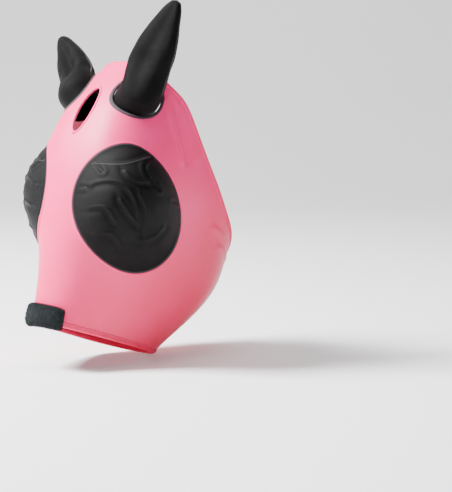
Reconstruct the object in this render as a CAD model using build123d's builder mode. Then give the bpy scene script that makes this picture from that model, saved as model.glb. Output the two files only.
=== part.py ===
"""Pull-on stretch fly mask for a horse, with domed mesh eyes, ear covers and a fleece nose pad.

The mask stands as it does on a head: +Z is up, the face looks along -Y and the horse's left is +X.
The origin is on the poll, where the crown of the mask rests.  Lengths are millimetres.
"""
from build123d import *
from math import cos, radians, sin
import os

# ---- driving dimensions --------------------------------------------------------------------
FACE_TILT = 21.0            # the face line leans forward from vertical by this angle, degrees
CLOTH = 1.5                 # stretch cloth, with the air layer it traps
PROUD = 1.2                 # a sewn band stands this far out of the cloth, on each side
REACH = 400.0               # long enough to cut right through the head form

# The head form under the cloth, on planes across the face line.  Each row holds: distance down
# from the poll, brow, jaw, and the half widths beside the brow, eyes, cheeks and jaw.
STATIONS = [
    (-60, 40, 250, 40, 66, 76, 70),
    (0, 0, 285, 56, 86, 94, 84),
    (60, -24, 302, 68, 100, 102, 90),
    (120, -34, 308, 74, 114, 108, 90),
    (180, -34, 302, 70, 114, 106, 88),
    (250, -26, 282, 56, 92, 94, 78),
    (320, -16, 248, 44, 70, 76, 64),
    (390, -8, 212, 38, 56, 62, 52),
    (460, -2, 190, 34, 52, 56, 46),
]

REAR_EDGE = [(18, -46), (34, -36), (54, -16), (81, 2), (109, 32), (140, 66), (186, 110), (222, 141),
             (258, 166), (290, 192), (330, 226)]                     # (behind the face, down)
NOSE_DOWN = 389.0           # nose edge, on the bridge
NOSE_RISE = 0.045           # the nose edge climbs this much per millimetre towards the jaw
REAR_HEM = 6.0
NOSE_HEM = 8.0
JAW_TAPE = 9.0              # width of the seam tape under the jaw

EYE_TURN = 35.0             # the eye panels face this far forward of sideways, degrees
EYE_CENTRE = (81, 194)      # (along the eye plane, down)
EYE_RADII = (88, 90)
EYE_DOME = 26.0             # height of the mesh dome over the cloth line
DOME_STEPS = 14
DOME_REACH = 0.30           # share of the way round the head that the dome form covers
DOME_FLOOR = -70.0
EYE_SEAM = 3.0              # half the width of the sewn seam round the mesh
MESH = 1.2
EYE_OUTLINE = [(-6, 182), (13, 129), (56, 103.5), (106, 117), (151, 157), (169, 206), (156, 253),
               (113, 282), (64, 278), (12, 240)]
MESH_JOIN = [(-40, 149), (25, 145), (52, 139), (79, 121), (104, 100), (116, 80)]

FORELOCK_CENTRE = 60.0      # down from the poll
FORELOCK_HALF = (15.0, 38.0)
FORELOCK_BINDING = 4.0

PAD_HALF = 43.0             # fleece nose pad, each side of the midline
PAD_SPAN = (361.0, 394.0)   # its top and bottom edges, down from the poll
PAD_OUT = 9.0               # pile height outside and inside
PAD_IN = 6.0
PAD_CORNER = 9.0

EAR_ROOT = (65.0, 4.3, -30.6)        # middle of the left ear's opening in the hood
EAR_AXIS = (0.698, -0.080, 0.712)    # the left ear turns about this line
EAR_TUBE = 33.0             # radius where the ear cover meets the hood
EAR_GAP = 1.6
EAR_BINDING = 4.6
EAR_CLOTH = 1.5
PIPING = 1.6                # half the width of the bead along an ear's edges
ROOT_HEIGHTS = (-22.0, -8.0, 6.0, 14.0, 21.0)   # rings of the round root, up to clear of the binding
PIPING_PROUD = 0.9
PIPING_FROM = 24.0          # the bead stands proud only above this height over the opening
# along the ear: (distance, half width, depth behind, depth in front)
EAR_STATIONS = [(42, 34, 27, 22), (75, 34.5, 25, 18), (105, 30.5, 20, 14), (132, 22, 14, 9),
                (150, 13.5, 9, 6), (160, 5, 4, 3)]
# (direction of the ear, direction its front faces), both given as if on the left side
EAR_POSES = {"left": ((0.343, 0.093, 0.934), (0.30, -0.95, 0.0)),
             "right": ((0.689, 0.395, 0.608), (-0.25, -0.95, 0.30))}

# ---- planes --------------------------------------------------------------------------------
FACE = Plane(origin=(0, 0, 0), x_dir=(1, 0, 0), z_dir=(0, sin(radians(FACE_TILT)), cos(radians(FACE_TILT))))
SIDE = Plane(origin=(0, 0, 0), x_dir=FACE.y_dir, z_dir=(1, 0, 0))
FRONT = Plane(origin=(0, 0, 0), x_dir=(1, 0, 0), z_dir=FACE.y_dir * -1)
EYE = Plane(origin=(0, 0, 0), x_dir=Vector(sin(radians(EYE_TURN)), 0, 0) + FACE.y_dir * cos(radians(EYE_TURN)),
            z_dir=Vector(cos(radians(EYE_TURN)), 0, 0) - FACE.y_dir * sin(radians(EYE_TURN)))
EAR_RING = Plane(origin=EAR_ROOT, z_dir=EAR_AXIS)


# ---- the head form -------------------------------------------------------------------------
def section_points(station, grow):
    """Closed outline of the head form at one station, moved outwards by grow."""
    down, brow, jaw, brow_half, eye_half, cheek_half, jaw_half = station
    depth = jaw - brow
    half = [(brow_half + 0.5 * grow, brow + 0.05 * depth - 0.87 * grow),
            (eye_half + 0.97 * grow, brow + 0.26 * depth - 0.25 * grow),
            (cheek_half + grow, brow + 0.56 * depth),
            (jaw_half + 0.8 * grow, brow + 0.86 * depth + 0.6 * grow)]
    other = [(-x, y) for x, y in reversed(half)]
    return [(0, brow - grow)] + half + [(0, jaw + grow)] + other


def head_form(grow):
    """Solid of the head under the cloth, grown outwards."""
    with BuildPart() as form:
        for station in STATIONS:
            with BuildSketch(FACE.offset(-station[0])):
                with BuildLine():
                    Spline(*section_points(station, grow), periodic=True)
                make_face()
        loft()
    return form.part


def shell(outer, inner):
    """Skin between two head forms."""
    with BuildPart() as skin:
        add(outer)
        add(inner, mode=Mode.SUBTRACT)
    return skin.part


# ---- cutters -------------------------------------------------------------------------------
def mask_cover():
    """Everything between the rear edge and the nose edge, seen from the side."""
    with BuildPart() as cover:
        with BuildSketch(SIDE):
            with BuildLine():
                edge = Spline(*[(behind, -down) for behind, down in REAR_EDGE])
                Polyline(edge @ 1, (340, -226), (340, 340 * NOSE_RISE - NOSE_DOWN),
                         (-120, -120 * NOSE_RISE - NOSE_DOWN), (-120, 60), edge @ 0)
            make_face()
        extrude(amount=REACH, both=True)
    return cover.part


def rear_strip():
    """Strip along the rear edge, seen from the side, as wide inside the edge as the hem."""
    with BuildPart() as strip:
        with BuildSketch(SIDE):
            with BuildLine():
                Spline(*[(behind, -down) for behind, down in [(0, -62)] + REAR_EDGE + [(352, 246)]])
            trace(line_width=2 * REAR_HEM)
        extrude(amount=REACH, both=True)
    return strip.part


def nose_strip():
    """Strip along the nose edge, seen from the side, as wide inside the edge as the hem."""
    with BuildPart() as strip:
        with BuildSketch(SIDE):
            with BuildLine():
                Line((-140, -140 * NOSE_RISE - NOSE_DOWN), (360, 360 * NOSE_RISE - NOSE_DOWN))
            trace(line_width=2 * NOSE_HEM)
        extrude(amount=REACH, both=True)
    return strip.part


def eye_prism(grow):
    """Column through the left eye opening, along the way the eye panel faces."""
    middle = Vector(*EYE_CENTRE)
    rim = [Vector(*point) for point in EYE_OUTLINE]
    rim = [point + (point - middle).normalized() * grow for point in rim]
    with BuildPart() as prism:
        with BuildSketch(EYE.offset(-20)):
            with BuildLine():
                Spline(*[(point.X, -point.Y) for point in rim], periodic=True)
            make_face()
        extrude(amount=180)
    return prism.part


def forelock_prism(grow):
    """Column through the forelock opening."""
    with BuildPart() as prism:
        with BuildSketch(FRONT.offset(-20)):
            with Locations((0, -FORELOCK_CENTRE)):
                Ellipse(FORELOCK_HALF[0] + grow, FORELOCK_HALF[1] + grow)
        extrude(amount=100)
    return prism.part


def ear_column(radius):
    """Column through the left ear opening, along the line that the ear turns about."""
    with BuildPart() as column:
        with BuildSketch(EAR_RING.offset(-30)):
            Circle(radius)
        extrude(amount=70)
    return column.part


def both_sides(left):
    """A left-hand cutter and its mirror image."""
    return [left, mirror(left, about=Plane.YZ)]


# ---- domed eye panels ----------------------------------------------------------------------
def dome_rise(along, down):
    """Height of the mesh dome over the cloth line; it is zero along the seam."""
    across = (along - EYE_CENTRE[0]) / EYE_RADII[0]
    lengthways = (down - EYE_CENTRE[1]) / EYE_RADII[1]
    return max(EYE_DOME * (1 - across ** 2 - lengthways ** 2), -EYE_DOME)


def dome_form(sink, margin):
    """Solid under the left mesh dome, lowered by sink and widened by margin."""
    turn = radians(EYE_TURN)
    with BuildPart() as form:
        for station in STATIONS[2:7]:
            outline = Spline(*section_points(station, 0), periodic=True)
            skin = []
            for step in range(DOME_STEPS + 1):
                point = outline.position_at(DOME_REACH * step / DOME_STEPS)
                along = point.X * sin(turn) + point.Y * cos(turn)
                out = point.X * cos(turn) - point.Y * sin(turn)
                skin.append((along, out + dome_rise(along, station[0]) - sink))
            first, last = skin[0][0] - margin, skin[-1][0] + margin
            low = DOME_FLOOR - margin
            with BuildSketch(Plane(FACE.z_dir * -station[0], x_dir=EYE.x_dir, z_dir=FACE.z_dir * -1)):
                with BuildLine():
                    top = Spline(*skin)
                    Polyline(top @ 1, (last, low), (first, low), top @ 0)
                make_face()
        loft()
    return form.part


def mesh_join_prism():
    """Column over the upper crescent of the left eye panel, above the seam across it."""
    with BuildPart() as prism:
        with BuildSketch(EYE.offset(-20)):
            with BuildLine():
                join = Spline(*[(along, -down) for along, down in MESH_JOIN])
                Polyline(join @ 1, (MESH_JOIN[-1][0], 0), (MESH_JOIN[0][0], 0), join @ 0)
            make_face()
        extrude(amount=180)
    return prism.part


# ---- ear covers ----------------------------------------------------------------------------
def ear_plane(pose, distance):
    """Plane across an ear, with x along its width and y towards its back."""
    direction = Vector(*pose[0]).normalized()
    width = direction.cross(Vector(*pose[1])).normalized()
    return Plane(Vector(*EAR_ROOT) + direction * distance, x_dir=width, z_dir=direction)


def ear_points(width, behind, front):
    """Closed outline of an ear cover: rounded behind, flatter in front."""
    side = [(width, 0), (0.74 * width, 0.70 * behind), (0, behind), (-0.74 * width, 0.70 * behind)]
    return side + [(-width, 0), (-0.70 * width, -0.75 * front), (0, -0.92 * front), (0.70 * width, -0.75 * front)]


def ear_form(pose, grow):
    """Solid under an ear cover, grown outwards: a round root, then the ear leaning away from it."""
    root = Plane(EAR_ROOT, x_dir=ear_plane(pose, 0).x_dir, z_dir=EAR_AXIS)
    ring = [(cos(radians(turn)), sin(radians(turn))) for turn in range(0, 360, 45)]
    with BuildPart() as form:
        for height in ROOT_HEIGHTS:
            low_grow = 2 * grow if height == ROOT_HEIGHTS[0] else 0
            with BuildSketch(root.offset(height + low_grow)):
                with BuildLine():
                    Spline(*[((EAR_TUBE + grow) * x, (EAR_TUBE + grow) * y) for x, y in ring], periodic=True)
                make_face()
        for distance, width, behind, front in EAR_STATIONS:
            tip_grow = grow if distance == EAR_STATIONS[-1][0] else 0
            with BuildSketch(ear_plane(pose, distance + tip_grow)):
                with BuildLine():
                    Spline(*ear_points(width + grow, behind + grow, front + grow), periodic=True)
                make_face()
        loft()
    return form.part


def ear_slab(pose, low, high):
    """Slab along an ear between two depths, used to part its front from its back."""
    across = ear_plane(pose, 0)
    middle = Plane(across.origin, x_dir=across.x_dir, z_dir=across.y_dir)
    with BuildPart() as slab:
        with BuildSketch(middle.offset(low)):
            Rectangle(REACH, 2 * REACH)
        extrude(amount=high - low)
    return slab.part


def root_block(height):
    """Everything below a height over the left ear opening."""
    with BuildPart() as block:
        with BuildSketch(EAR_RING.offset(-REACH)):
            Rectangle(REACH, REACH)
        extrude(amount=REACH + height)
    return block.part


# ---- build ---------------------------------------------------------------------------------
def finish(piece, name):
    """Name a finished piece and write it."""
    piece.label = name
    export_step(piece, f"parts/{name}.step")


os.makedirs("parts", exist_ok=True)

head_outer = head_form(0)
head_inner = head_form(-CLOTH)
cloth_skin = shell(head_outer, head_inner)
band_skin = shell(head_form(PROUD), head_form(-CLOTH - PROUD))
cover = mask_cover()
rear_band = rear_strip()
nose_band = nose_strip()
ear_hole = EAR_TUBE + EAR_GAP
jaw_slot = FACE.offset(-REACH)

# The strip under the jaw where the two edges of the hood are seamed together.
with BuildPart() as jaw_column:
    with BuildSketch(jaw_slot):
        with Locations((0, 250)):
            Rectangle(JAW_TAPE, 220)
    extrude(amount=REACH)

# The stretch cloth: one cut piece, wrapped round the face from jaw seam to jaw seam.
with BuildPart() as hood:
    add(cloth_skin)
    add(cover, mode=Mode.INTERSECT)
    add([rear_band, nose_band, jaw_column.part], mode=Mode.SUBTRACT)
    add(both_sides(eye_prism(EYE_SEAM)), mode=Mode.SUBTRACT)
    add(both_sides(ear_column(ear_hole + EAR_BINDING)), mode=Mode.SUBTRACT)
    add(forelock_prism(FORELOCK_BINDING), mode=Mode.SUBTRACT)
finish(hood.part, "hood")

with BuildPart() as rear_hem:
    add(band_skin)
    add(cover, mode=Mode.INTERSECT)
    add(rear_band, mode=Mode.INTERSECT)
finish(rear_hem.part, "rear_hem")

with BuildPart() as nose_hem:
    add(band_skin)
    add(cover, mode=Mode.INTERSECT)
    add(nose_band, mode=Mode.INTERSECT)
finish(nose_hem.part, "nose_hem")

with BuildPart() as jaw_seam_tape:
    add(band_skin)
    add(cover, mode=Mode.INTERSECT)
    add(jaw_column.part, mode=Mode.INTERSECT)
    add([rear_band, nose_band], mode=Mode.SUBTRACT)
finish(jaw_seam_tape.part, "jaw_seam_tape")

with BuildPart() as forelock_binding:
    add(band_skin)
    add(forelock_prism(FORELOCK_BINDING), mode=Mode.INTERSECT)
    add(forelock_prism(0), mode=Mode.SUBTRACT)
finish(forelock_binding.part, "forelock_binding")

# Fleece pad over the bridge of the nose, folded round the nose edge.
with BuildPart() as nose_fleece:
    add(shell(head_form(PAD_OUT), head_form(-PAD_IN)))
    with BuildSketch(FRONT.offset(-70)):
        with Locations((0, -(PAD_SPAN[0] + PAD_SPAN[1]) / 2)):
            RectangleRounded(2 * PAD_HALF, PAD_SPAN[1] - PAD_SPAN[0], PAD_CORNER)
    extrude(amount=110, mode=Mode.INTERSECT)
    add([hood.part, nose_hem.part], mode=Mode.SUBTRACT)
finish(nose_fleece.part, "nose_fleece")

# Eye panels: a domed mesh in two cuts, and the seam that joins it to the hood.
with BuildPart() as eye_mesh:
    add(dome_form(0, 0))
    add(eye_prism(-EYE_SEAM), mode=Mode.INTERSECT)
    add(dome_form(MESH, 5), mode=Mode.SUBTRACT)

with BuildPart() as eye_mesh_upper:
    add(eye_mesh.part)
    add(mesh_join_prism(), mode=Mode.INTERSECT)

with BuildPart() as eye_mesh_lower:
    add(eye_mesh.part)
    add(mesh_join_prism(), mode=Mode.SUBTRACT)

with BuildPart() as eye_seam:
    add(band_skin)
    add(eye_prism(EYE_SEAM), mode=Mode.INTERSECT)
    add(eye_prism(-EYE_SEAM), mode=Mode.SUBTRACT)

with BuildPart() as ear_binding:
    add(band_skin)
    add(ear_column(ear_hole + EAR_BINDING), mode=Mode.INTERSECT)
    add(ear_column(ear_hole), mode=Mode.SUBTRACT)

for piece, name in [(eye_mesh_upper, "eye_mesh_upper"), (eye_mesh_lower, "eye_mesh_lower"),
                    (eye_seam, "eye_seam"), (ear_binding, "ear_binding")]:
    finish(piece.part, f"left_{name}")
    finish(mirror(piece.part, about=Plane.YZ), f"right_{name}")

# Ear covers: a back, a front stretched over the ear's opening, and the bead that joins them.
for side, pose in EAR_POSES.items():
    inside = ear_form(pose, -EAR_CLOTH)
    ear_skin = shell(ear_form(pose, 0), inside)
    seam_slab = ear_slab(pose, -PIPING, PIPING)
    root = root_block(PIPING_FROM)
    with BuildPart() as ear_back:
        add(ear_skin)
        add(ear_slab(pose, PIPING, REACH), mode=Mode.INTERSECT)
    with BuildPart() as ear_front:
        add(ear_skin)
        add(ear_slab(pose, -REACH, -PIPING), mode=Mode.INTERSECT)
    with BuildPart() as root_seam:
        add(ear_skin)
        add(seam_slab, mode=Mode.INTERSECT)
        add(root, mode=Mode.INTERSECT)
    with BuildPart() as ear_piping:
        add(shell(ear_form(pose, PIPING_PROUD), inside))
        add(seam_slab, mode=Mode.INTERSECT)
        add(root, mode=Mode.SUBTRACT)
        add(root_seam.part)
    for piece, name in [(ear_back, "ear_back"), (ear_front, "ear_front"), (ear_piping, "ear_piping")]:
        placed = piece.part if side == "left" else mirror(piece.part, about=Plane.YZ)
        finish(placed, f"{side}_{name}")
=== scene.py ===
"""Visual model of a horse's pull-on stretch fly mask: mesh eye domes, ear covers and a fleece nose pad."""
from math import cos, hypot, pi, radians, sin

import bpy
import numpy as np
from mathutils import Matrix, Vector
from mathutils.bvhtree import BVHTree


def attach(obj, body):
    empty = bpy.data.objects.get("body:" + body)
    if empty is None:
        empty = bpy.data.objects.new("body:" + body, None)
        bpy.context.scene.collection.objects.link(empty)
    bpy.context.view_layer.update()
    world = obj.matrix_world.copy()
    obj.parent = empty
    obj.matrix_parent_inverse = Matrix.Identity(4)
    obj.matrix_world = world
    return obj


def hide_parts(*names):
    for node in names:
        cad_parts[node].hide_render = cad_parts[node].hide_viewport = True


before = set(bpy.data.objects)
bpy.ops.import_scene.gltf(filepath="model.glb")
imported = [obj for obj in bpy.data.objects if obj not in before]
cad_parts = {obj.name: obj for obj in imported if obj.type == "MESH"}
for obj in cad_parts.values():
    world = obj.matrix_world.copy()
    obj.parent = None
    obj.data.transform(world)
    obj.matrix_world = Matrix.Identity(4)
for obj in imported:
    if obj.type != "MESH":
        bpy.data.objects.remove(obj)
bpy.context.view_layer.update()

# ---- driving numbers, millimetres -----------------------------------------------------------
# Most are the part's own. The cheek, nose, rear edge, pad width and ears differ a little from it,
# as the visual model follows the worn mask more closely.
MM = 0.001
FACE_TILT = radians(21)
CLOTH = 1.5
STATIONS = np.array([
    (-60, 40, 250, 40, 66, 76, 70),
    (0, 0, 285, 56, 86, 94, 84),
    (60, -24, 302, 68, 100, 102, 90),
    (120, -34, 308, 74, 114, 108, 90),
    (180, -34, 302, 70, 114, 106, 88),
    (250, -23, 297, 51, 90, 96, 84),
    (320, -8, 262, 37, 68, 79, 68),
    (390, 0, 214, 31, 53, 62, 52),
    (460, 4, 190, 28, 50, 56, 46),
], float)
REAR_EDGE = [(0, -50), (18, -36), (34, -28), (54, -12), (81, 3), (109, 32), (140, 66), (186, 110), (222, 141),
             (258, 166), (290, 192), (330, 226), (352, 246)]
NOSE_DOWN = 389.0
NOSE_RISE = 0.045
REAR_HEM = 6.0
NOSE_HEM = 8.0

EYE_TURN = radians(35)
EYE_CENTRE = (81, 194)
EYE_RADII = (88, 90)
EYE_DOME = 26.0
EYE_SEAM = 3.0
EYE_OUTLINE = [(-6, 182), (13, 129), (56, 103.5), (106, 117), (151, 157), (169, 206), (156, 253),
               (113, 282), (64, 278), (12, 240)]
MESH_JOIN = [(-40, 149), (25, 145), (52, 139), (79, 121), (104, 100), (116, 80)]

FORELOCK_CENTRE = 60.0
FORELOCK_HALF = (15.0, 38.0)

PAD_HALF = 37.5
PAD_SPAN = (361.0, 394.0)
PAD_OUT = 9.0
PAD_IN = 6.0

EAR_ROOT = np.array((65.0, 4.3, -30.6))
EAR_AXIS = np.array((0.698, -0.080, 0.712))
EAR_TUBE = 33.0
EAR_GAP = 1.6
ROOT_HEIGHTS = (-22.0, -4.0, 15.0)
EAR_STATIONS = [(42, 34, 27, 22), (75, 32, 24, 17), (98, 27, 18, 12), (122, 19, 12, 8.5),
                (138, 13, 8.5, 6.5), (148, 7, 5, 4)]
EAR_POSES = {"left": ((0.343, 0.093, 0.934), (0.30, -0.95, 0.0)),
             "right": ((0.689, 0.395, 0.608), (-0.25, -0.95, 0.30))}
PIPING_FROM = 17.0
EAR_WIDEN = {"left": 1.04, "right": 0.88}
EAR_LEAN = {"left": 12.0, "right": 10.0}    # how far the tip curves outwards
EAR_REACH = {"left": 1.05, "right": 1.11}

# Sewn darts and slack creases of an eye panel, as (along, down) lines.
DARTS = [
    [(7, 139), (25, 157)],
    [(1, 184), (12, 184)],
    [(139, 166), (157, 160)],
    [(97, 109), (82, 133), (112, 160)],
]
CREASES = [
    [(7, 187), (13, 181), (52, 169), (76, 181), (91, 205), (94, 214)],
    [(60, 192), (78, 206), (96, 216)],
    [(20, 214), (44, 208), (62, 222)],
    [(84, 176), (104, 196), (112, 226)],
    [(56, 150), (70, 158), (96, 152)],
    [(40, 246), (66, 240), (84, 252)],
    [(104, 236), (122, 228), (136, 206)],
]

# ---- axes ----------------------------------------------------------------------------------
AXIS_X = np.array((1.0, 0.0, 0.0))
BEHIND = np.array((0.0, cos(FACE_TILT), -sin(FACE_TILT)))
UP_FACE = np.array((0.0, sin(FACE_TILT), cos(FACE_TILT)))
EYE_ALONG = sin(EYE_TURN) * AXIS_X + cos(EYE_TURN) * BEHIND
EYE_OUT = cos(EYE_TURN) * AXIS_X - sin(EYE_TURN) * BEHIND
EAR_AXIS = EAR_AXIS / np.linalg.norm(EAR_AXIS)
MIRROR = np.array((-1.0, 1.0, 1.0))
SIDES = {"left": 1, "right": -1}


# ---- curves --------------------------------------------------------------------------------
def natural_spline(knots, values, at):
    """Natural cubic spline through rows of values, read off at the given parameters."""
    knots = np.asarray(knots, float)
    values = np.asarray(values, float)
    at = np.asarray(at, float)
    count = len(knots)
    gap = np.diff(knots)
    matrix = np.eye(count)
    right = np.zeros_like(values)
    for i in range(1, count - 1):
        matrix[i, i - 1:i + 2] = (gap[i - 1], 2 * (gap[i - 1] + gap[i]), gap[i])
        right[i] = 6 * ((values[i + 1] - values[i]) / gap[i] - (values[i] - values[i - 1]) / gap[i - 1])
    bend = np.linalg.solve(matrix, right)
    k = np.clip(np.searchsorted(knots, at, "right") - 1, 0, count - 2)
    h = gap[k][:, None]
    d = (at - knots[k])[:, None]
    e = h - d
    curve = (bend[k] * e ** 3 + bend[k + 1] * d ** 3) / (6 * h)
    return curve + (values[k] / h - bend[k] * h / 6) * e + (values[k + 1] / h - bend[k + 1] * h / 6) * d


def periodic_spline(points, steps):
    """Closed cubic spline through points, with the same number of steps from each to the next."""
    points = np.asarray(points, float)
    count = len(points)
    ahead = np.roll(points, -1, axis=0)
    gap = np.linalg.norm(ahead - points, axis=1)
    before = np.roll(gap, 1)
    matrix = np.zeros((count, count))
    for i in range(count):
        matrix[i, i - 1] += before[i]
        matrix[i, i] += 2 * (before[i] + gap[i])
        matrix[i, (i + 1) % count] += gap[i]
    slope = (ahead - points) / gap[:, None]
    bend = np.linalg.solve(matrix, 6 * (slope - np.roll(slope, 1, axis=0)))
    curve = []
    for i in range(count):
        j = (i + 1) % count
        h = gap[i]
        d = (h * np.arange(steps) / steps)[:, None]
        e = h - d
        part = (bend[i] * e ** 3 + bend[j] * d ** 3) / (6 * h)
        part += (points[i] / h - bend[i] * h / 6) * e + (points[j] / h - bend[j] * h / 6) * d
        curve.append(part)
    return np.vstack(curve)


def open_spline(points, steps):
    """Smooth open curve through points."""
    points = np.asarray(points, float)
    knots = np.concatenate([[0], np.cumsum(np.linalg.norm(np.diff(points, axis=0), axis=1))])
    return natural_spline(knots, points, np.linspace(0, knots[-1], steps))


def line_distance(x, y, line):
    """Signed distance from each (x, y) to a line; it is positive on the left of the line's way."""
    line = np.asarray(line, float)
    shape = np.shape(x)
    spots = np.stack([np.ravel(x), np.ravel(y)], axis=1)
    best = np.full(len(spots), 1e9)
    sign = np.ones(len(spots))
    for start, end in zip(line[:-1], line[1:]):
        way = end - start
        off = spots - start
        t = np.clip(off @ way / (way @ way), 0, 1)
        gap = off - t[:, None] * way
        far = np.hypot(gap[:, 0], gap[:, 1])
        near = far < best
        best[near] = far[near]
        side = way[0] * off[:, 1] - way[1] * off[:, 0]
        sign[near] = np.where(side[near] >= 0, 1, -1)
    return (best * sign).reshape(shape)


# ---- the head under the cloth --------------------------------------------------------------
ROW_STEP = 3.5
SPLINE_STEPS = 26
DOWN = np.arange(-60, 460, ROW_STEP)


def section_points(row):
    """Closed outline of the head at one station, as (x, behind)."""
    brow, jaw, brow_half, eye_half, cheek_half, jaw_half = row
    depth = jaw - brow
    half = [(brow_half, brow + 0.05 * depth), (eye_half, brow + 0.26 * depth),
            (cheek_half, brow + 0.56 * depth), (jaw_half, brow + 0.86 * depth)]
    return [(0, brow)] + half + [(0, jaw)] + [(-x, y) for x, y in reversed(half)]


def head_grid():
    """Points of the head form, row by row down the face, each row from jaw to jaw round the brow."""
    rows = natural_spline(STATIONS[:, 0], STATIONS[:, 1:], DOWN)
    grid = []
    for down, row in zip(DOWN, rows):
        outline = periodic_spline(section_points(row), SPLINE_STEPS)
        outline = np.roll(outline, -5 * SPLINE_STEPS, axis=0)
        outline = np.vstack([outline, outline[:1]])
        grid.append(outline[:, :1] * AXIS_X + outline[:, 1:] * BEHIND - down * UP_FACE)
    return np.array(grid)


def grid_normals(grid):
    """Outward normals of a grid that runs down and round."""
    down = np.gradient(grid, axis=0)
    around = np.gradient(grid, axis=1)
    seam = grid[:, 1] - grid[:, -2]
    around[:, 0] = seam
    around[:, -1] = seam
    normals = np.cross(down, around)
    return normals / np.linalg.norm(normals, axis=2, keepdims=True)


def grid_faces(rows, columns, flip=False):
    """Four-sided faces between the points of a grid."""
    faces = []
    for i in range(rows - 1):
        for j in range(columns - 1):
            a = i * columns + j
            face = [a, a + columns, a + columns + 1, a + 1]
            faces.append(face[::-1] if flip else face)
    return faces


def head_coordinates(points):
    """(x, behind, down) of points in the row frame."""
    return points[..., 0], points @ BEHIND, -(points @ UP_FACE)


# Slack folds of the cloth: (height, half width, (behind, down) line), on the left side.
FOLDS = [
    (2.6, 4.5, [(52, 16), (68, 52), (92, 100)]),
    (-2.2, 4.0, [(62, 14), (79, 50), (103, 98)]),
    (1.5, 3.0, [(76, 14), (98, 48), (124, 88)]),
    (1.8, 4.0, [(262, 188), (228, 176), (200, 172)]),
    (1.5, 3.5, [(272, 204), (246, 196), (226, 196)]),
    (1.5, 3.5, [(4, 36), (20, 8), (34, -20)]),
    (1.0, 3.5, [(-20, 232), (10, 262), (40, 268)]),
]


def fold_height(points):
    """How far the slack folds lift the cloth at each point."""
    x, behind, down = head_coordinates(points)
    height = 0.35 * np.sin(0.045 * behind + 0.6 * np.sin(0.02 * down)) * np.sin(0.037 * down + 0.02 * x)
    for rise, half, line in FOLDS:
        gap = line_distance(behind, down, open_spline(line, 16))
        height = height + rise * np.exp(-(gap / half) ** 2) * np.clip((np.abs(x) - 25) / 20, 0, 1)
    return height


flat_head = head_grid()
HEAD = flat_head + grid_normals(flat_head) * fold_height(flat_head)[..., None]
HEAD_NORMALS = grid_normals(HEAD)
ROWS, COLUMNS = HEAD.shape[:2]
SKIN = BVHTree.FromPolygons(HEAD.reshape(-1, 3).tolist(), grid_faces(ROWS, COLUMNS))


def cast(origin, way):
    """Where a line meets the cloth, and the cloth's outward normal there."""
    spot, normal, _, _ = SKIN.ray_cast(Vector(origin), Vector(way))
    if spot is None:
        spot, normal, _, _ = SKIN.find_nearest(Vector(origin) + Vector(way) * 60)
    return np.array(spot), np.array(normal)


# ---- edges of the hood, as distances on the head grid -----------------------------------------
def eye_polar():
    """Radius of the eye outline about its centre, by angle."""
    outline = periodic_spline(EYE_OUTLINE, 24) - np.array(EYE_CENTRE)
    turn = np.arctan2(outline[:, 1], outline[:, 0])
    order = np.argsort(turn)
    return turn[order], np.hypot(outline[:, 0], outline[:, 1])[order]


EYE_TURNS, EYE_REACH = eye_polar()


def eye_reach(turn):
    """Radius of the eye outline at an angle."""
    return np.interp((turn + pi) % (2 * pi) - pi, EYE_TURNS, EYE_REACH, period=2 * pi)


def eye_distance(x, behind, down):
    """Distance outside the eye outline, seen square to the eye panel."""
    along = np.abs(x) * sin(EYE_TURN) + behind * cos(EYE_TURN) - EYE_CENTRE[0]
    out = np.abs(x) * cos(EYE_TURN) - behind * sin(EYE_TURN)
    below = down - EYE_CENTRE[1]
    gap = np.hypot(along, below) - eye_reach(np.arctan2(below, along))
    return np.where(out < -20, 100.0, gap)


def ear_distance(points):
    """Distance from the nearer ear's turning line."""
    folded = points.copy()
    folded[..., 0] = np.abs(folded[..., 0])
    off = folded - EAR_ROOT
    height = off @ EAR_AXIS
    gap = np.linalg.norm(off - height[..., None] * EAR_AXIS, axis=-1)
    return np.where(np.abs(height) > 60, 100.0, gap)


def forelock_distance(x, behind, down):
    """Distance outside the forelock opening, near enough."""
    scale = np.hypot(x / FORELOCK_HALF[0], (down - FORELOCK_CENTRE) / FORELOCK_HALF[1])
    gap = (scale - 1) * FORELOCK_HALF[0]
    return np.where(behind > 80, 100.0, gap)


GRID_X, GRID_BEHIND, GRID_DOWN = head_coordinates(flat_head)
REAR_IN = line_distance(GRID_BEHIND, GRID_DOWN, open_spline(REAR_EDGE, 90))
NOSE_IN = NOSE_DOWN - NOSE_RISE * GRID_BEHIND - GRID_DOWN


# ---- mesh making -----------------------------------------------------------------------------
def add_mesh(name, points, faces, uv=None):
    """New smooth mesh object from points in millimetres."""
    mesh = bpy.data.meshes.new(name)
    mesh.from_pydata((np.asarray(points, float) * MM).tolist(), [], faces)
    mesh.polygons.foreach_set("use_smooth", [True] * len(mesh.polygons))
    if uv is not None:
        corners = np.zeros(len(mesh.loops), np.int32)
        mesh.loops.foreach_get("vertex_index", corners)
        layer = mesh.uv_layers.new(name="cloth")
        layer.data.foreach_set("uv", (np.asarray(uv)[corners] * MM).ravel())
    mesh.update()
    piece = bpy.data.objects.new(name, mesh)
    bpy.context.scene.collection.objects.link(piece)
    return piece


def place(piece, body, materials, nodes=()):
    """Give a piece its materials and body, and hide the CAD nodes that it stands for."""
    for material in materials:
        piece.data.materials.append(material)
    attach(piece, body)
    if nodes:
        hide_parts(*nodes)
    return piece


def thicken(piece, thickness):
    """Give a cloth its thickness, inwards."""
    solid = piece.modifiers.new("cloth", "SOLIDIFY")
    solid.thickness = thickness * MM
    solid.offset = -1


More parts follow.
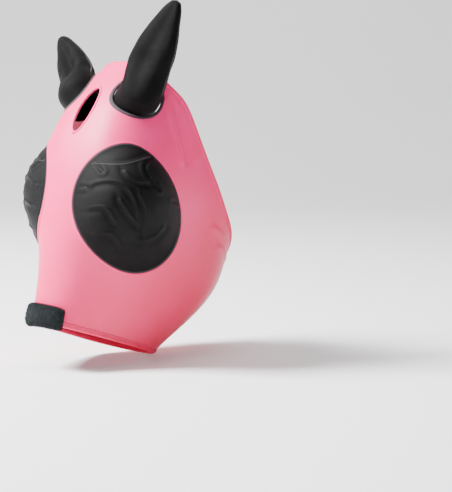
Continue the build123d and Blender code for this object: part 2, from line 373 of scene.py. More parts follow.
def clip(table, faces, column):
    """Cut away the part of a mesh where one column of its point table is negative."""
    table = [np.asarray(row, float) for row in table]
    cuts = {}
    kept = []
    for face in faces:
        inside = [table[v][column] >= 0 for v in face]
        if all(inside):
            kept.append(face)
            continue
        if not any(inside):
            continue
        outline = []
        for here, there in zip(face, face[1:] + face[:1]):
            a, b = table[here][column], table[there][column]
            if a >= 0:
                outline.append(here)
            if (a >= 0) != (b >= 0):
                key = (min(here, there), max(here, there))
                if key not in cuts:
                    table.append(table[here] + (table[there] - table[here]) * a / (a - b))
                    cuts[key] = len(table) - 1
                outline.append(cuts[key])
        if len(set(outline)) > 2:
            kept.append(outline)
    used = sorted({v for face in kept for v in face})
    renumber = {v: i for i, v in enumerate(used)}
    return np.array([table[v] for v in used]), [[renumber[v] for v in face] for face in kept]


def side_points(points, side):
    """Left-hand points, or their mirror image."""
    return np.asarray(points) * (1 if side == "left" else MIRROR)


def side_faces(faces, side):
    """Left-hand faces, or the same faces turned over for the mirror image."""
    return faces if side == "left" else [face[::-1] for face in faces]


def ring_mesh(rings, closed=True, flip=False):
    """Points and faces of a grid whose columns close, and whose rows close too if closed."""
    rings = np.asarray(rings)
    rows, columns = rings.shape[:2]
    faces = []
    for i in range(rows if closed else rows - 1):
        for j in range(columns):
            k = (i + 1) % rows
            m = (j + 1) % columns
            face = [i * columns + j, k * columns + j, k * columns + m, i * columns + m]
            faces.append(face[::-1] if flip else face)
    return rings.reshape(-1, 3), faces


def row_lengths(grid):
    """Length along each row of a grid, from its first point."""
    steps = np.linalg.norm(np.diff(grid, axis=1), axis=2)
    return np.concatenate([np.zeros((len(grid), 1)), np.cumsum(steps, axis=1)], axis=1)


# ---- hood ------------------------------------------------------------------------------------
# How far each cut edge runs under its trim.
TUCK = {"rear": 2.5, "nose": 3.0, "eye": 1.0, "ear": 2.0, "forelock": 2.0}


def add_hood(cloth):
    """The stretch cloth, one cut wrapped from jaw seam to jaw seam."""
    around = row_lengths(HEAD)
    around = around - around[:, COLUMNS // 2][:, None]
    table = np.stack([
        HEAD[..., 0], HEAD[..., 1], HEAD[..., 2], around, GRID_DOWN,
        REAR_IN - TUCK["rear"],
        NOSE_IN - TUCK["nose"],
        eye_distance(GRID_X, GRID_BEHIND, GRID_DOWN) - TUCK["eye"],
        ear_distance(flat_head) - EAR_TUBE - EAR_GAP - TUCK["ear"],
        forelock_distance(GRID_X, GRID_BEHIND, GRID_DOWN) - TUCK["forelock"],
    ], axis=-1).reshape(ROWS * COLUMNS, -1)
    faces = grid_faces(ROWS, COLUMNS)
    for column in range(5, 10):
        table, faces = clip(table, faces, column)
    hood = add_mesh("hood_cloth", table[:, :3], faces, table[:, 3:5])
    thicken(hood, CLOTH)
    return place(hood, "head_cover", [cloth], ["hood"])


# ---- bands along the rear and nose edges -------------------------------------------------------
def level_line(field, level, from_nose=False):
    """Points and normals, one per column, where a distance on the grid has a value."""
    values = field[::-1] if from_nose else field
    points = HEAD[::-1] if from_nose else HEAD
    normals = HEAD_NORMALS[::-1] if from_nose else HEAD_NORMALS
    line = []
    ways = []
    for j in range(COLUMNS - 1):
        i = int(np.argmax(values[:, j] >= level))
        i = max(i, 1)
        low, high = values[i - 1, j], values[i, j]
        t = 0.0 if high == low else (level - low) / (high - low)
        line.append(points[i - 1, j] * (1 - t) + points[i, j] * t)
        ways.append(normals[i - 1, j] * (1 - t) + normals[i, j] * t)
    return np.array(line), np.array(ways)


def level_band(field, profile, from_nose=False):
    """Rings of a band along an edge; the profile holds (distance in from the edge, height)."""
    rings = []
    for inwards, height in profile:
        line, ways = level_line(field, inwards, from_nose)
        rings.append(line + ways * height)
    return np.array(rings)


def hem_profile(width):
    """Outline of a folded, stitched hem: (distance in from the edge, height)."""
    outer = [(width + 0.4, -0.4), (width, 0.7), (width - 0.8, 1.15), (width * 0.66, 1.0), (width * 0.5, 0.75),
             (width * 0.36, 1.0), (width * 0.2, 1.3), (0.7, 1.15), (0.1, 0.5)]
    inner = [(0.0, -CLOTH / 2), (0.1, -CLOTH - 0.5), (0.9, -CLOTH - 1.1), (width * 0.6, -CLOTH - 1.1),
             (width, -CLOTH - 0.8), (width + 0.4, -CLOTH + 0.2)]
    return outer + inner


def add_rear_hem(cloth):
    """Folded hem along the rear edge."""
    points, faces = ring_mesh(level_band(REAR_IN, hem_profile(REAR_HEM)), flip=True)
    hem = add_mesh("rear_hem_fold", points, faces)
    return place(hem, "head_cover", [cloth], ["rear_hem"])


def add_nose_hem(cloth):
    """Folded hem along the nose edge."""
    points, faces = ring_mesh(level_band(NOSE_IN, hem_profile(NOSE_HEM), True))
    hem = add_mesh("nose_hem_fold", points, faces)
    return place(hem, "head_cover", [cloth], ["nose_hem"])


def along_loop(line, spots):
    """Points at given lengths along a closed line."""
    closed = np.vstack([line, line[:1]])
    lengths = np.concatenate([[0], np.cumsum(np.linalg.norm(np.diff(closed, axis=0), axis=1))])
    return np.stack([np.interp(spots, lengths, closed[:, k]) for k in range(3)], axis=1), lengths[-1]


def stitch_mesh(name, starts, ends, ways, radius, lift):
    """Thread standing up out of the cloth in short stitches."""
    sides = 6
    points = []
    faces = []
    for start, end, way in zip(starts, ends, ways):
        run = end - start
        across = np.cross(run, way)
        across = across / max(np.linalg.norm(across), 1e-9)
        base = len(points)
        for t, rise in [(0.0, -0.5), (0.15, 0.6), (0.5, 1.0), (0.85, 0.6), (1.0, -0.5)]:
            for k in range(sides):
                turn = 2 * pi * k / sides
                out = lift * rise + radius * sin(turn)
                points.append(start + run * t + way * out + across * radius * cos(turn))
        for row in range(4):
            for k in range(sides):
                m = (k + 1) % sides
                a = base + row * sides
                faces.append([a + k, a + m, a + sides + m, a + sides + k])
    return add_mesh(name, points, faces)


def edge_stitches(name, field, levels, pitch, from_nose, height):
    """Stitches along an edge that step between two distances in from it."""
    near, near_ways = level_line(field, levels[0], from_nose)
    far, _ = level_line(field, levels[1], from_nose)
    total = along_loop(near, [0.0])[1]
    count = int(total / pitch)
    spots = np.linspace(0, total, count, endpoint=False)
    share = spots / total
    near_points = along_loop(near, spots)[0]
    far_total = along_loop(far, [0.0])[1]
    far_points = along_loop(far, share * far_total)[0]
    ways = near_ways[np.clip((share * len(near_ways)).astype(int), 0, len(near_ways) - 1)]
    zig = np.array([near_points[i] if i % 2 == 0 else far_points[i] for i in range(count)]) + ways * height
    if levels[0] == levels[1]:
        starts = zig[:-1] * 0.85 + zig[1:] * 0.15
        ends = zig[:-1] * 0.15 + zig[1:] * 0.85
        return stitch_mesh(name, starts, ends, ways, 0.3, 0.35)
    return stitch_mesh(name, zig[:-1], zig[1:], ways, 0.5, 0.4)


TAPE_PROFILE = [(-4.5, -0.3), (-4.2, 0.9), (-2.0, 1.1), (0, 0.7), (2.0, 1.1), (4.2, 0.9), (4.5, -0.3),
                (4.2, -2.3), (0, -2.5), (-4.2, -2.3)]       # (across, height over the cloth)
TAPE_DOWN = np.linspace(196, 376, 60)


def add_jaw_tape(cloth):
    """Flat seam tape under the jaw."""
    rings = []
    for across, height in TAPE_PROFILE:
        line = []
        for down in TAPE_DOWN:
            spot, normal = cast(AXIS_X * across + BEHIND * 400 - UP_FACE * down, -BEHIND)
            line.append(spot + normal * height)
        rings.append(line)
    rings = np.array(rings).transpose(1, 0, 2)
    points, faces = ring_mesh(rings, closed=False)
    tape = add_mesh("jaw_tape", points, faces)
    return place(tape, "head_cover", [cloth], ["jaw_seam_tape"])


# ---- bound openings ----------------------------------------------------------------------------
# Outlines of the bindings: (offset from the opening's edge, height over the cloth).
FORELOCK_PROFILE = [(0.2, 0.0), (0.6, 0.9), (2.0, 1.3), (3.3, 1.0), (4.0, 0.2), (4.0, -1.7), (2.0, -2.7),
                    (0.6, -2.3), (0.2, -1.3)]
EYE_PROFILE = [(-3.4, -0.6), (-3.0, 0.3), (-2.0, 0.9), (-0.8, 1.0), (0.1, 0.5), (0.6, 1.0), (1.6, 1.1),
               (2.6, 0.7), (3.2, -0.1), (2.8, -2.3), (0, -2.6), (-3.0, -2.0)]
EAR_PROFILE = [(0.1, -0.2), (0.4, 0.8), (1.6, 1.3), (3.2, 1.1), (4.3, 0.6), (4.8, -0.2), (4.4, -2.0),
               (2.2, -2.7), (0.4, -2.2)]
EYE_SEAM_STEPS = 180
PINK_BANDS = range(4, 9)    # strips of the eye seam's outline in hem cloth; the rest is dark


def bound_ring(origin_at, way, profile, count):
    """Rings of a binding sewn round an opening; origin_at gives a point over it for a turn and an offset."""
    rings = []
    for offset, height in profile:
        line = []
        for turn in np.linspace(0, 2 * pi, count, endpoint=False):
            spot, normal = cast(origin_at(turn, offset), way)
            line.append(spot + normal * height)
        rings.append(line)
    return np.array(rings)


def add_forelock_binding(cloth):
    """Bound edge of the forelock opening."""
    def origin_at(turn, offset):
        x = (FORELOCK_HALF[0] + offset) * cos(turn)
        down = FORELOCK_CENTRE + (FORELOCK_HALF[1] + offset) * sin(turn)
        return AXIS_X * x - BEHIND * 120 - UP_FACE * down

    points, faces = ring_mesh(bound_ring(origin_at, BEHIND, FORELOCK_PROFILE, 96))
    band = add_mesh("forelock_edge", points, faces)
    return place(band, "head_cover", [cloth], ["forelock_binding"])


def eye_point(along, down, far=220.0):
    """Point in front of the left eye panel."""
    return EYE_ALONG * along + EYE_OUT * far - UP_FACE * down


def add_eye_seam(side, dark, pink):
    """Sewn seam round an eye panel: dark mesh edge inside, the cloth's own turned edge outside."""
    def origin_at(turn, offset):
        reach = eye_reach(turn) + offset
        return eye_point(EYE_CENTRE[0] + reach * cos(turn), EYE_CENTRE[1] + reach * sin(turn))

    points, faces = ring_mesh(bound_ring(origin_at, -EYE_OUT, EYE_PROFILE, EYE_SEAM_STEPS))
    seam = add_mesh(f"{side}_eye_edge", side_points(points, side), side_faces(faces, side))
    place(seam, "head_cover", [dark, pink], [f"{side}_eye_seam"])
    bands = [index // EYE_SEAM_STEPS in PINK_BANDS for index in range(len(faces))]
    seam.data.polygons.foreach_set("material_index", [int(pink_band) for pink_band in bands])
    return seam


def add_ear_binding(side, dark):
    """Bound ring round an ear opening."""
    first = np.cross(EAR_AXIS, AXIS_X)
    first = first / np.linalg.norm(first)
    second = np.cross(EAR_AXIS, first)

    def origin_at(turn, offset):
        reach = EAR_TUBE + EAR_GAP + offset
        return EAR_ROOT + EAR_AXIS * 60 + reach * (first * cos(turn) + second * sin(turn))

    points, faces = ring_mesh(bound_ring(origin_at, -EAR_AXIS, EAR_PROFILE, 120), flip=True)
    ring = add_mesh(f"{side}_ear_ring", side_points(points, side), side_faces(faces, side))
    return place(ring, "head_cover", [dark], [f"{side}_ear_binding"])


# ---- eye domes ------------------------------------------------------------------------------
DOME_RINGS = 44
DOME_SPOKES = 180


def dome_rise(along, down):
    """Height of the mesh dome over the cloth line, with its sewn darts and slack creases."""
    across = (along - EYE_CENTRE[0]) / EYE_RADII[0]
    lengthways = (down - EYE_CENTRE[1]) / EYE_RADII[1]
    rise = EYE_DOME * (1 - across ** 2 - lengthways ** 2)
    for line in DARTS:
        gap = line_distance(along, down, open_spline(line, 12))
        rise = rise - 2.6 * np.exp(-(gap / 2.2) ** 2) + 1.6 * np.exp(-((np.abs(gap) - 5) / 3) ** 2)
    for line in CREASES:
        gap = line_distance(along, down, open_spline(line, 24))
        rise = rise + 2.1 * np.exp(-(gap / 1.5) ** 2) - 1.8 * np.exp(-((gap - 6) / 4.5) ** 2)
    gap = line_distance(along, down, open_spline(MESH_JOIN, 40))
    rise = rise + 0.8 * np.exp(-(gap / 2.0) ** 2) - 1.4 * np.exp(-((gap + 5) / 3.0) ** 2)
    return rise + 0.5 * np.sin(0.11 * along + 1.4 * np.sin(0.05 * down)) * np.sin(0.09 * down)


def dome_table():
    """Points of the left eye dome, with (along, down) and the distance to the join of its two cuts."""
    table = []
    for i in range(DOME_RINGS + 1):
        for turn in np.linspace(0, 2 * pi, DOME_SPOKES, endpoint=False):
            reach = (eye_reach(turn) - EYE_SEAM + 0.6) * i / DOME_RINGS
            along = EYE_CENTRE[0] + reach * cos(turn)
            down = EYE_CENTRE[1] + reach * sin(turn)
            table.append((*cast(eye_point(along, down), -EYE_OUT)[0], along, down))
    table = np.array(table)
    rise = dome_rise(table[:, 3], table[:, 4])
    edge = np.repeat(1 - (np.arange(DOME_RINGS + 1) / DOME_RINGS) ** 12, DOME_SPOKES)
    table[:, :3] += EYE_OUT * (rise * edge)[:, None]
    join = line_distance(table[:, 3], table[:, 4], open_spline(MESH_JOIN, 40))
    return np.hstack([table, join[:, None]])


def dome_faces():
    """Faces of the dome's polar grid."""
    faces = []
    for i in range(DOME_RINGS):
        for j in range(DOME_SPOKES):
            m = (j + 1) % DOME_SPOKES
            a = i * DOME_SPOKES
            b = a + DOME_SPOKES
            if i == 0:
                faces.append([a, b + j, b + m])
            else:
                faces.append([a + j, b + j, b + m, a + m])
    return faces


def add_eye_meshes(side, mesh_cloth, seam_cloth, table, faces):
    """The upper and lower cuts of an eye dome, and the raised seam between them."""
    for part, sign in [("upper", -1), ("lower", 1)]:
        cut_table = table.copy()
        cut_table[:, 5] *= sign
        cut, kept = clip(cut_table, faces, 5)
        points = side_points(cut[:, :3], side)
        piece = add_mesh(f"{side}_eye_{part}_mesh", points, side_faces(kept, side), cut[:, 3:5])
        thicken(piece, 0.9)
        place(piece, "head_cover", [mesh_cloth], [f"{side}_eye_mesh_{part}"])
    seams = [open_spline(MESH_JOIN, 60)] + [open_spline(line, 14) for line in DARTS]
    rings = []
    for line in seams:
        beads = []
        for along, down in line:
            reach = hypot(along - EYE_CENTRE[0], down - EYE_CENTRE[1])
            turn = np.arctan2(down - EYE_CENTRE[1], along - EYE_CENTRE[0])
            if reach < eye_reach(turn) - EYE_SEAM:
                share = reach / (eye_reach(turn) - EYE_SEAM + 0.6)
                base = cast(eye_point(along, down), -EYE_OUT)[0]
                rise = float(dome_rise(np.array([along]), np.array([down]))[0]) * (1 - share ** 12)
                beads.append(base + EYE_OUT * (rise + 0.3))
        if len(beads) > 2:
            rings.append(np.array(beads))
    piece = tube_mesh(f"{side}_eye_seam_lines", [side_points(line, side) for line in rings], 0.9)
    place(piece, "head_cover", [seam_cloth])
    return piece


def tube_mesh(name, lines, radius):
    """Round beads along lines."""
    sides = 8
    points = []
    faces = []
    for line in lines:
        base = len(points)
        ways = np.gradient(line, axis=0)
        for i, (spot, way) in enumerate(zip(line, ways)):
            way = way / np.linalg.norm(way)
            first = np.cross(way, (0.31, 0.42, 0.85))
            first = first / np.linalg.norm(first)
            second = np.cross(way, first)
            size = radius * (0.3 if i in (0, len(line) - 1) else 1.0)
            for k in range(sides):
                turn = 2 * pi * k / sides
                points.append(spot + size * (first * cos(turn) + second * sin(turn)))
        for i in range(len(line) - 1):
            for k in range(sides):
                m = (k + 1) % sides
                a = base + i * sides
                faces.append([a + k, a + m, a + sides + m, a + sides + k])
    return add_mesh(name, points, faces)


# ---- ear covers ------------------------------------------------------------------------------
EAR_ROWS = 80
EAR_STEPS = 14


def ear_axes(pose):
    """Direction, width way and back way of an ear."""
    direction = np.array(pose[0]) / np.linalg.norm(pose[0])
    width = np.cross(direction, pose[1])
    width = width / np.linalg.norm(width)
    return direction, width, np.cross(direction, width)


def ear_grid(pose, widen, lean, reach):
    """Rows of points up an ear cover; each row starts at one edge and goes round the back first."""
    direction, width, back = ear_axes(pose)
    root_x = width - EAR_AXIS * (width @ EAR_AXIS)
    root_x = root_x / np.linalg.norm(root_x)
    root_y = np.cross(EAR_AXIS, root_x)
    rings = []
    for height in ROOT_HEIGHTS:
        turns = [radians(45 * k) for k in range(8)]
        ring = [EAR_ROOT + EAR_AXIS * height + EAR_TUBE * (root_x * cos(t) + root_y * sin(t)) for t in turns]
        rings.append(periodic_spline(ring, EAR_STEPS))
    for distance, w, behind, front in EAR_STATIONS:
        w = w * widen
        distance = distance * reach
        outline = [(w, 0), (0.74 * w, 0.70 * behind), (0, behind), (-0.74 * w, 0.70 * behind), (-w, 0),
                   (-0.70 * w, -0.75 * front), (0, -0.92 * front), (0.70 * w, -0.75 * front)]
        centre = EAR_ROOT + direction * distance + width * lean * (distance / EAR_STATIONS[-1][0]) ** 2
        rings.append(periodic_spline([centre + width * x + back * y for x, y in outline], EAR_STEPS))
    rings = np.array(rings)
    centres = rings.mean(axis=1)
    knots = np.concatenate([[0], np.cumsum(np.linalg.norm(np.diff(centres, axis=0), axis=1))])
    rows = natural_spline(knots, rings.reshape(len(rings), -1), np.linspace(0, knots[-1], EAR_ROWS))
    return rows.reshape(EAR_ROWS, -1, 3), knots[-1]


def shape_ear(grid, pose, groove):
    """Slack wrinkles near the root, and a hollow down the front."""
    back = ear_axes(pose)[2]
    rows, columns = grid.shape[:2]
    turn = np.arange(columns) / columns
    t = np.linspace(0, 1, rows)[:, None]
    centre = grid.mean(axis=1, keepdims=True)
    off = grid - centre
    wave = 0.5 * np.sin(34 * t + 5 * np.sin(2 * pi * turn)[None, :]) * np.clip(1 - t, 0, 1)
    wave = wave + 0.35 * np.sin(12 * pi * turn + 7 * t)
    wave = wave * np.clip((t - 0.24) / 0.1, 0, 1) * np.clip((1 - t) / 0.1, 0, 1)
    front = np.exp(-((turn - 0.75) / 0.055) ** 2)[None, :]
    fade = np.clip((t - 0.28) / 0.2, 0, 1) * np.clip((0.92 - t) / 0.3, 0, 1)
    size = np.linalg.norm(off, axis=2, keepdims=True)
    moved = grid + off / np.maximum(size, 1e-6) * wave[..., None]
    return moved + back * (groove * front * fade)[..., None]


def add_ear(side, back_cloth, front_cloth, bead_cloth, groove):
    """One ear cover: back, front and the bead along its edges."""
    grid, length = ear_grid(EAR_POSES[side], EAR_WIDEN[side], EAR_LEAN[side], EAR_REACH[side])
    grid = shape_ear(grid, EAR_POSES[side], groove)
    rows, columns = grid.shape[:2]
    half = columns // 2
    body = f"{side}_ear_cover"
    spans = {"back": range(0, half + 1), "front": range(half, columns + 1)}
    direction = ear_axes(EAR_POSES[side])[0]
    tip = grid[-1].mean(axis=0) + direction * 2.2
    for part, span in spans.items():
        patch = grid[:, [k % columns for k in span]]
        around = row_lengths(patch)
        up = np.tile(np.linspace(0, length, rows)[:, None], patch.shape[1])
        uv = np.stack([around - around[:, -1:] / 2, up], axis=-1)
        points = np.vstack([patch.reshape(-1, 3), tip])
        uv = np.vstack([uv.reshape(-1, 2), (0, length)])
        faces = grid_faces(rows, patch.shape[1], flip=True)
        last = (rows - 1) * patch.shape[1]
        faces += [[last + k, last + k + 1, len(points) - 1] for k in range(patch.shape[1] - 1)]
        piece = add_mesh(f"{side}_ear_{part}_cloth", side_points(points, side), side_faces(faces, side), uv)
        thicken(piece, 1.2)
        slot, cloth = ("ear_cloth", back_cloth) if part == "back" else ("ear_mesh", front_cloth)
        place(piece, body, [cloth], [f"{side}_ear_{part}"])
    start = next(i for i in range(rows) if (grid[i].mean(axis=0) - EAR_ROOT) @ EAR_AXIS > PIPING_FROM + 6)
    up = grid[start:, 0]
    over = grid[start:, half][::-1]
    line = np.vstack([up, tip[None, :], over])
    line = line[np.concatenate([[True], np.linalg.norm(np.diff(line, axis=0), axis=1) > 0.8])]
    bead = tube_mesh(f"{side}_ear_bead", [side_points(line, side)], 1.1)
    place(bead, body, [bead_cloth], [f"{side}_ear_piping"])
    return bead


# ---- fleece nose pad --------------------------------------------------------------------------
def pad_outline():
    """Closed outline across the pad: (down, height over the cloth), over the nose edge and back inside."""
    top, bottom = PAD_SPAN
    outer = [(top + 1.0, 0.5), (top + 0.4, 4.0), (top + 2.5, 7.6), (top + 7, PAD_OUT - 0.4),
             (top + 14, PAD_OUT + 0.2), (top + 22, PAD_OUT), (bottom - 5, PAD_OUT - 1.6),
             (bottom - 1, 4.5), (bottom + 0.4, 0.5),
             (bottom - 0.4, -3.4), (bottom - 4, -6.0)]
    inner = [(top + 22, -PAD_IN - CLOTH), (top + 10, -PAD_IN - CLOTH), (top + 3, -5.5), (top + 0.8, -2.5)]
    return outer + inner


def add_fleece(pile, tips):
    """Thick fleece pad over the bridge of the nose, and its loose pile."""
    outline = periodic_spline(pad_outline(), 6)
    middle = (PAD_SPAN[0] + PAD_SPAN[1]) / 2
    rng = np.random.default_rng(7)
    rings = []
    ends = np.array([0.95, 0.975, 0.992, 1])
    for share in np.concatenate([-ends[::-1], np.linspace(-0.91, 0.91, 60), ends]):
        inset = (1 - abs(share) ** 9) ** 0.5
        x = PAD_HALF * share
        ring = []
        for down, height in outline:
            lump = rng.normal(0, 0.28) if height > -2 else 0.0
            squeezed = middle + (down - middle) * (0.72 + 0.28 * inset)
            spot, normal = cast(AXIS_X * x - BEHIND * 120 - UP_FACE * squeezed, BEHIND)
            ring.append(spot + normal * (height * (0.35 + 0.65 * inset) + lump))
        rings.append(ring)
    rings = np.array(rings)
    points, faces = ring_mesh(rings, closed=False, flip=True)
    columns = rings.shape[1]
    faces.append(list(range(columns)))
    faces.append(list(range(len(points) - columns, len(points)))[::-1])
    pad = add_mesh("nose_pad", points, faces)
    place(pad, "head_cover", [pile], ["nose_fleece"])
    add_pile(rings, rng, tips)
    return pad


FIBRES = 15000


def add_pile(rings, rng, tips):
    """Short loose fibres standing out of the pad."""
    rows, columns = rings.shape[:2]
    core = rings.mean(axis=1)
    points = []
    faces = []
    for _ in range(FIBRES):
        i = rng.integers(1, rows - 2)
        j = rng.integers(0, columns)
        s, t = rng.random(2)
        a = rings[i, j] * (1 - s) + rings[i + 1, j] * s
        b = rings[i, (j + 1) % columns] * (1 - s) + rings[i + 1, (j + 1) % columns] * s
        spot = a * (1 - t) + b * t
        way = spot - core[i]
        way = way / np.linalg.norm(way) + rng.normal(0, 0.38, 3)
        way = way / np.linalg.norm(way)
        across = np.cross(way, rng.normal(0, 1, 3))
        across = across / np.linalg.norm(across) * 0.16
        reach = rng.uniform(1.2, 2.6)
        base = len(points)
        bend = rng.normal(0, 0.35, 3)
        points += [spot - across, spot + across]
        points += [spot + way * reach * 0.6 + bend * 0.4, spot + way * reach + bend]
        faces += [[base, base + 1, base + 2], [base + 1, base + 3, base + 2]]
    piece = add_mesh("nose_pad_pile", points, faces)
    return place(piece, "head_cover", [tips])


# ---- materials ---------------------------------------------------------------------------------
def new_material(name, colour, roughness, sheen=0.0, sheen_tint=(1, 1, 1), specular=0.5):
    """Principled material; returns it with its node tree and shader."""
    material = bpy.data.materials.new(name)
    material.use_nodes = True
    tree = material.node_tree
    shader = tree.nodes["Principled BSDF"]
    shader.inputs["Base Color"].default_value = (*colour, 1)
    shader.inputs["Roughness"].default_value = roughness
    shader.inputs["Specular IOR Level"].default_value = specular
    shader.inputs["Sheen Weight"].default_value = sheen
    shader.inputs["Sheen Roughness"].default_value = 0.45
    shader.inputs["Sheen Tint"].default_value = (*sheen_tint, 1)
    return material, tree, shader


def add_node(tree, kind, **inputs):
    """New shader node with its plain input values set."""
    node = tree.nodes.new(kind)
    for key, value in inputs.items():
        node.inputs[key.replace("_", " ")].default_value = value
    return node


def wave(tree, vector, scale, direction):
    """Fine rows across the cloth."""
    node = add_node(tree, "ShaderNodeTexWave", Scale=scale)
    node.bands_direction = direction
    tree.links.new(vector, node.inputs["Vector"])
    return node.outputs["Fac"]


def combine(tree, operation, first, second):
    """Sum or product of two values."""
    node = tree.nodes.new("ShaderNodeMath")
    node.operation = operation
    for value, socket in [(first, node.inputs[0]), (second, node.inputs[1])]:
        if isinstance(value, (int, float)):
            socket.default_value = value
        else:
            tree.links.new(value, socket)
    return node.outputs[0]


def knit_bump(tree, shader, period, strength, uv=True):
    """Knitted rows and columns as bumps, with a little slub."""
    where = tree.nodes.new("ShaderNodeTexCoord").outputs["UV" if uv else "Object"]
    scale = 0.314 / (period * MM)
    rows = wave(tree, where, scale, "X")
    columns = wave(tree, where, scale * 0.8, "Y")
    noise = add_node(tree, "ShaderNodeTexNoise", Scale=240.0, Detail=3.0)
    tree.links.new(where, noise.inputs["Vector"])
    weave = combine(tree, "MULTIPLY", rows, columns)
    height = combine(tree, "ADD", weave, combine(tree, "MULTIPLY", noise.outputs["Fac"], 0.5))
    bump = add_node(tree, "ShaderNodeBump", Strength=strength, Distance=0.0004)
    tree.links.new(height, bump.inputs["Height"])
    tree.links.new(bump.outputs["Normal"], shader.inputs["Normal"])
    return where, rows, columns


def mottle(tree, shader, where, colour, other, scale):
    """Slow change of shade over the cloth, as dye, wear and dust leave it."""
    noise = add_node(tree, "ShaderNodeTexNoise", Scale=scale, Detail=6.0, Roughness=0.6)
    tree.links.new(where, noise.inputs["Vector"])
    ramp = tree.nodes.new("ShaderNodeValToRGB")
    ramp.color_ramp.elements[0].position = 0.32
    ramp.color_ramp.elements[0].color = (*other, 1)
    ramp.color_ramp.elements[1].position = 0.68
    ramp.color_ramp.elements[1].color = (*colour, 1)
    tree.links.new(noise.outputs["Fac"], ramp.inputs["Fac"])
    tree.links.new(ramp.outputs["Color"], shader.inputs["Base Color"])


PINK = (1.0, 0.034, 0.230)
PINK_DEEP = (0.95, 0.020, 0.165)
PINK_THREAD = (0.86, 0.004, 0.085)
BLACK = (0.0015, 0.0015, 0.0018)


# Painted shade: the pink cloth's colour is multiplied darker towards the jaw and the nose edge, where the
# cloth faces down into shade.
LOWER_SHADE_FROM = -0.14         # metres, measured up less 0.7 of the way back
LOWER_SHADE_TO = -0.46
LOWER_SHADE_TINT = (0.72, 0.30, 0.32)


def paint_lower_shade(tree, shader):
    """Painted shade: darker, redder base colour towards the nose edge and the jaw, standing in for the shade
    on the lower cloth.
    """
    where = tree.nodes.new("ShaderNodeTexCoord").outputs["Object"]
    parts = tree.nodes.new("ShaderNodeSeparateXYZ")
    tree.links.new(where, parts.inputs["Vector"])
    behind = combine(tree, "MULTIPLY", parts.outputs["Y"], -0.7)
    share = tree.nodes.new("ShaderNodeMapRange")
    share.inputs["From Min"].default_value = LOWER_SHADE_FROM
    share.inputs["From Max"].default_value = LOWER_SHADE_TO
    tree.links.new(combine(tree, "ADD", parts.outputs["Z"], behind), share.inputs["Value"])
    mixer = tree.nodes.new("ShaderNodeMixRGB")
    mixer.blend_type = "MULTIPLY"
    mixer.inputs["Color2"].default_value = (*LOWER_SHADE_TINT, 1)
    tree.links.new(share.outputs["Result"], mixer.inputs["Fac"])
    tree.links.new(shader.inputs["Base Color"].links[0].from_socket, mixer.inputs["Color1"])
    tree.links.new(mixer.outputs["Color"], shader.inputs["Base Color"])


def pink_cloth():
    """Shiny stretch knit."""
    material, tree, shader = new_material("pink_stretch", PINK, 0.38, 0.05, (1.0, 0.70, 0.88), 0.35)
    where = knit_bump(tree, shader, 0.8, 0.25)[0]
    mottle(tree, shader, where, PINK, PINK_DEEP, 9.0)
    # painted shade towards the jaw and the nose edge
    paint_lower_shade(tree, shader)
    return material


def pink_hem():
    """The same knit folded into hems, where the folds pull it denser."""
    material, tree, shader = new_material("pink_hem", PINK, 0.5, 0.05, (1.0, 0.7, 0.85), 0.3)
    where = knit_bump(tree, shader, 0.9, 0.35, uv=False)[0]
    mottle(tree, shader, where, PINK, PINK_DEEP, 60.0)
    # painted shade towards the jaw and the nose edge
    paint_lower_shade(tree, shader)
    return material


def thread(name, colour):
    """Sewing thread."""
    material, tree, shader = new_material(name, colour, 0.55, 0.2)
    where = knit_bump(tree, shader, 0.35, 0.4, uv=False)[0]
    mottle(tree, shader, where, colour, tuple(0.75 * c for c in colour), 300.0)
    return material


def black_mesh(name, period, grey, openness, sheen, specular):
    """Black net with real see-through holes between its threads."""
    material, tree, shader = new_material(name, BLACK, 0.52, sheen, (0.9, 0.93, 1.0), specular)
    where, rows, columns = knit_bump(tree, shader, period, 0.8)
    mottle(tree, shader, where, grey, BLACK, 30.0)
    holes = combine(tree, "MULTIPLY", combine(tree, "GREATER_THAN", rows, openness),
                    combine(tree, "GREATER_THAN", columns, openness))
    alpha = combine(tree, "SUBTRACT", 1.0, holes)
    tree.links.new(alpha, shader.inputs["Alpha"])
    return material


def dark_trim():
    """Purple-black overlocked trim."""
    material, tree, shader = new_material("dark_trim", (0.018, 0.006, 0.013), 0.6, 0.06, (0.8, 0.6, 0.75))
    where = knit_bump(tree, shader, 0.7, 0.7, uv=False)[0]
    mottle(tree, shader, where, (0.022, 0.007, 0.015), (0.008, 0.003, 0.006), 120.0)
    return material


def fleece(name, colour):
    """Matt black pile."""
    material, tree, shader = new_material(name, colour, 0.95, 0.12, (0.7, 0.8, 0.85), 0.1)
    where = tree.nodes.new("ShaderNodeTexCoord").outputs["Object"]
    mottle(tree, shader, where, tuple(1.8 * c for c in colour), tuple(0.6 * c for c in colour), 420.0)
    return material


# ---- setting -----------------------------------------------------------------------------------
CAMERA_FROM = (49, 4)
CAMERA_AIM = (45.0, -5.738)
CAMERA_DISTANCE = 2.6
CAMERA_LENS = 134.6
MASK_MIDDLE = np.array((0.0, 0.0, -0.18))
FLOOR = -436.0
LAMPS = [                   # (name, place, size in metres, watts)
    ("key", (-1.5, -1.8, 2.2), 1.1, 560),
    ("fill", (2.6, -2.4, 0.9), 2.4, 14),
    ("top", (0.2, -0.3, 2.6), 1.8, 35),
]
LAMP_TARGET = (0, 0, -0.2)


def add_camera():
    """Camera at the side of the face."""
    turn, rise = radians(CAMERA_FROM[0]), radians(CAMERA_FROM[1])
    away = np.array((sin(turn) * cos(rise), -cos(turn) * cos(rise), sin(rise)))
    data = bpy.data.cameras.new("camera")
    data.lens = CAMERA_LENS
    data.sensor_width = 36
    data.sensor_fit = "HORIZONTAL"
    data.clip_end = 50
    camera = bpy.data.objects.new("camera", data)
    camera.location = MASK_MIDDLE + away * CAMERA_DISTANCE
    camera.rotation_euler = (radians(90 + CAMERA_AIM[1]), 0, radians(CAMERA_AIM[0]))
    bpy.context.scene.collection.objects.link(camera)
    bpy.context.scene.camera = camera


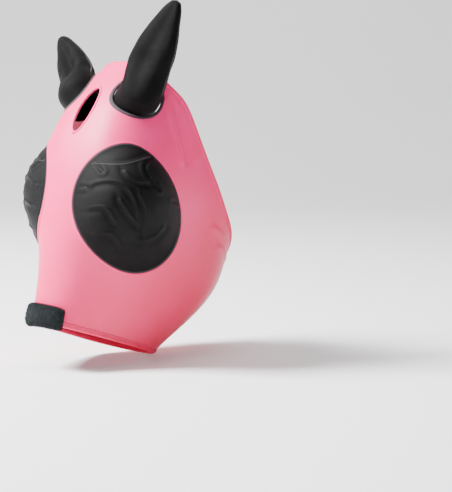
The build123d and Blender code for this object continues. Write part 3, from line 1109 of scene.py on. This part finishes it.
def add_area_light(name, spot, size, power):
    """Large soft lamp."""
    data = bpy.data.lights.new(name, "AREA")
    data.size = size
    data.energy = power
    lamp = bpy.data.objects.new(name, data)
    lamp.location = spot
    lamp.rotation_euler = (Vector(LAMP_TARGET) - Vector(spot)).to_track_quat("-Z", "Y").to_euler()
    bpy.context.scene.collection.objects.link(lamp)


def add_floor():
    """Pale plain floor that curves up far behind."""
    sweep = [(3 + 2.5 * sin(radians(t)), 2.5 - 2.5 * cos(radians(t))) for t in range(10, 91, 10)]
    profile = [(-14.0, 0.0), (3.0, 0.0)] + sweep + [(5.5, 14.0)]
    away = np.array((-sin(radians(45)), cos(radians(45))))
    across = np.array((away[1], -away[0]))
    points = []
    for reach, height in profile:
        for side in (-14, 14):
            spot = away * reach + across * side
            points.append((spot[0] * 1000, spot[1] * 1000, height * 1000 + FLOOR))
    faces = [[2 * k, 2 * k + 1, 2 * k + 3, 2 * k + 2] for k in range(len(profile) - 1)]
    floor = add_mesh("floor", points, faces)
    material, tree, shader = new_material("floor_paper", (0.93, 0.93, 0.93), 0.9, specular=0.1)
    where = tree.nodes.new("ShaderNodeTexCoord").outputs["Object"]
    mottle(tree, shader, where, (0.94, 0.94, 0.94), (0.92, 0.92, 0.92), 2.0)
    shader.inputs["Emission Color"].default_value = (1, 1, 1, 1)
    shader.inputs["Emission Strength"].default_value = 0.12
    floor.data.materials.append(material)


def add_world():
    """Even white light from all round."""
    world = bpy.data.worlds.new("studio")
    world.use_nodes = True
    world.node_tree.nodes["Background"].inputs["Color"].default_value = (1, 1, 1, 1)
    world.node_tree.nodes["Background"].inputs["Strength"].default_value = 0.3
    bpy.context.scene.world = world


# ---- build ---------------------------------------------------------------------------------------
pink = pink_cloth()
hem = pink_hem()
pink_thread = thread("pink_thread", PINK_THREAD)
trim = dark_trim()
eye_net = black_mesh("eye_net", 1.3, (0.004, 0.004, 0.0045), 0.985, 0.015, 0.09)
ear_net = black_mesh("ear_net", 1.1, (0.004, 0.004, 0.004), 0.985, 0.012, 0.05)
ear_knit = black_mesh("ear_knit", 0.9, (0.003, 0.003, 0.003), 0.985, 0.012, 0.04)

hood_piece = add_hood(pink)
bands = [add_rear_hem(hem), add_nose_hem(hem), add_jaw_tape(hem), add_forelock_binding(hem)]
nose_zigzag = edge_stitches("nose_zigzag", NOSE_IN, (2.2, 5.6), 2.4, True, 1.25)
place(nose_zigzag, "head_cover", [pink_thread])
rear_run = edge_stitches("rear_stitches", REAR_IN, (3.1, 3.1), 2.8, False, 0.95)
place(rear_run, "head_cover", [pink_thread])

eye_table = dome_table()
eye_faces = dome_faces()
for side in SIDES:
    add_eye_meshes(side, eye_net, trim, eye_table, eye_faces)
    add_eye_seam(side, trim, hem)
    add_ear_binding(side, trim)
    add_ear(side, ear_knit, ear_net, trim, 3.0 if side == "left" else 9.0)
add_fleece(fleece("fleece_pile", (0.010, 0.012, 0.013)), fleece("fleece_tips", (0.016, 0.019, 0.020)))

add_camera()
add_floor()
add_world()
for lamp in LAMPS:
    add_area_light(*lamp)
